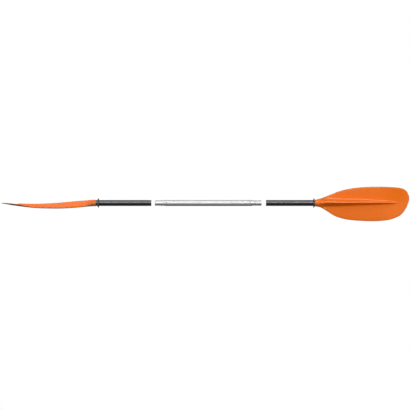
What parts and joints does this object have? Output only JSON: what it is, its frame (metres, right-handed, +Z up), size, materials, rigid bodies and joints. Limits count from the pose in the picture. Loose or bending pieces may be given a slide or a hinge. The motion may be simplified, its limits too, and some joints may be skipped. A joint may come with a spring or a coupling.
{
  "type": "kayak paddle",
  "caption": "Take-apart double-bladed kayak paddle: bare metal centre tube with a spigot and snap buttons at each end, two black tubes with drip rings, and dished asymmetric orange blades.",
  "frame": {"origin": "on the shaft's axis, midway between the blade tips, with the three sections drawn apart", "axes": "+X along the shaft towards the right blade, which stands on edge with its power face towards -Y and its long edge up; +Z up; the left blade lies flat with its power face towards +Z"},
  "size_m": [2.064, 0.1746, 0.1746],
  "materials": {
    "bare_aluminium": "satin anodised, drawn along its length",
    "spigot_aluminium": "satin, turned and lightly scuffed by the tube that slides over it",
    "plug_plastic": "plain moulded",
    "spring_steel": "bright strip",
    "button_steel": "polished dome",
    "rivet_metal": "pressed, dull",
    "black_coating": "satin black coat",
    "bung_rubber": "closed-cell, matte",
    "blade_plastic": "semi-gloss moulded polypropylene, fine grain on the faces",
    "ring_rubber": "soft, slightly dusty"
  },
  "bodies": {
    "centre_section": {"centre_tube": "bare_aluminium", "left_ferrule": "spigot_aluminium", "right_ferrule": "spigot_aluminium", "left_ferrule_plug": "plug_plastic", "right_ferrule_plug": "plug_plastic", "left_snap_spring": "spring_steel", "right_snap_spring": "spring_steel", "left_ferrule_rivet": "rivet_metal", "right_ferrule_rivet": "rivet_metal"},
    "left_button_top": {"left_button_top": "button_steel"},
    "left_button_bottom": {"left_button_bottom": "button_steel"},
    "right_button_front": {"right_button_front": "button_steel"},
    "right_button_back": {"right_button_back": "button_steel"},
    "left_bung": {"left_tube_bung": "bung_rubber"},
    "right_bung": {"right_tube_bung": "bung_rubber"},
    "left_section": {"left_tube": "black_coating", "left_blade": "blade_plastic", "left_blade_rivet": "rivet_metal"},
    "right_section": {"right_tube": "black_coating", "right_blade": "blade_plastic", "right_blade_rivet": "rivet_metal"},
    "left_ring": {"left_drip_ring": "ring_rubber"},
    "right_ring": {"right_drip_ring": "ring_rubber"}
  },
  "joints": [
    {"name": "left_pull", "type": "slide", "parent": "centre_section", "child": "left_bung", "axis": [1, 0, 0], "range_m": [0, 0.0662], "deforming": ["left_button_top", "left_button_bottom"]},
    {"name": "left_turn", "type": "hinge", "parent": "left_bung", "child": "left_section", "pos_m": [-0.4, 0, 0], "axis": [1, 0, 0], "continuous": true},
    {"name": "left_ring_slide", "type": "slide", "parent": "left_section", "child": "left_ring", "axis": [1, 0, 0], "range_m": [0, 0.2]},
    {"name": "right_pull", "type": "slide", "parent": "centre_section", "child": "right_bung", "axis": [-1, 0, 0], "range_m": [0, 0.0702], "deforming": ["right_button_front", "right_button_back"]},
    {"name": "right_turn", "type": "hinge", "parent": "right_bung", "child": "right_section", "pos_m": [0.4, 0, 0], "axis": [-1, 0, 0], "continuous": true},
    {"name": "right_ring_slide", "type": "slide", "parent": "right_section", "child": "right_ring", "axis": [-1, 0, 0], "range_m": [0, 0.2]},
    {"name": "left_button_top_press", "type": "slide", "parent": "centre_section", "child": "left_button_top", "axis": [0, 0, -1], "range_m": [0, 0.0026], "stiffness_N_per_m": 4000, "deforming": ["left_snap_spring"]},
    {"name": "left_button_bottom_press", "type": "slide", "parent": "centre_section", "child": "left_button_bottom", "axis": [0, 0, 1], "range_m": [0, 0.0026], "stiffness_N_per_m": 4000},
    {"name": "right_button_front_press", "type": "slide", "parent": "centre_section", "child": "right_button_front", "axis": [0, 1, 0], "range_m": [0, 0.0026], "stiffness_N_per_m": 4000, "deforming": ["right_snap_spring"]},
    {"name": "right_button_back_press", "type": "slide", "parent": "centre_section", "child": "right_button_back", "axis": [0, -1, 0], "range_m": [0, 0.0026], "stiffness_N_per_m": 4000}
  ]
}
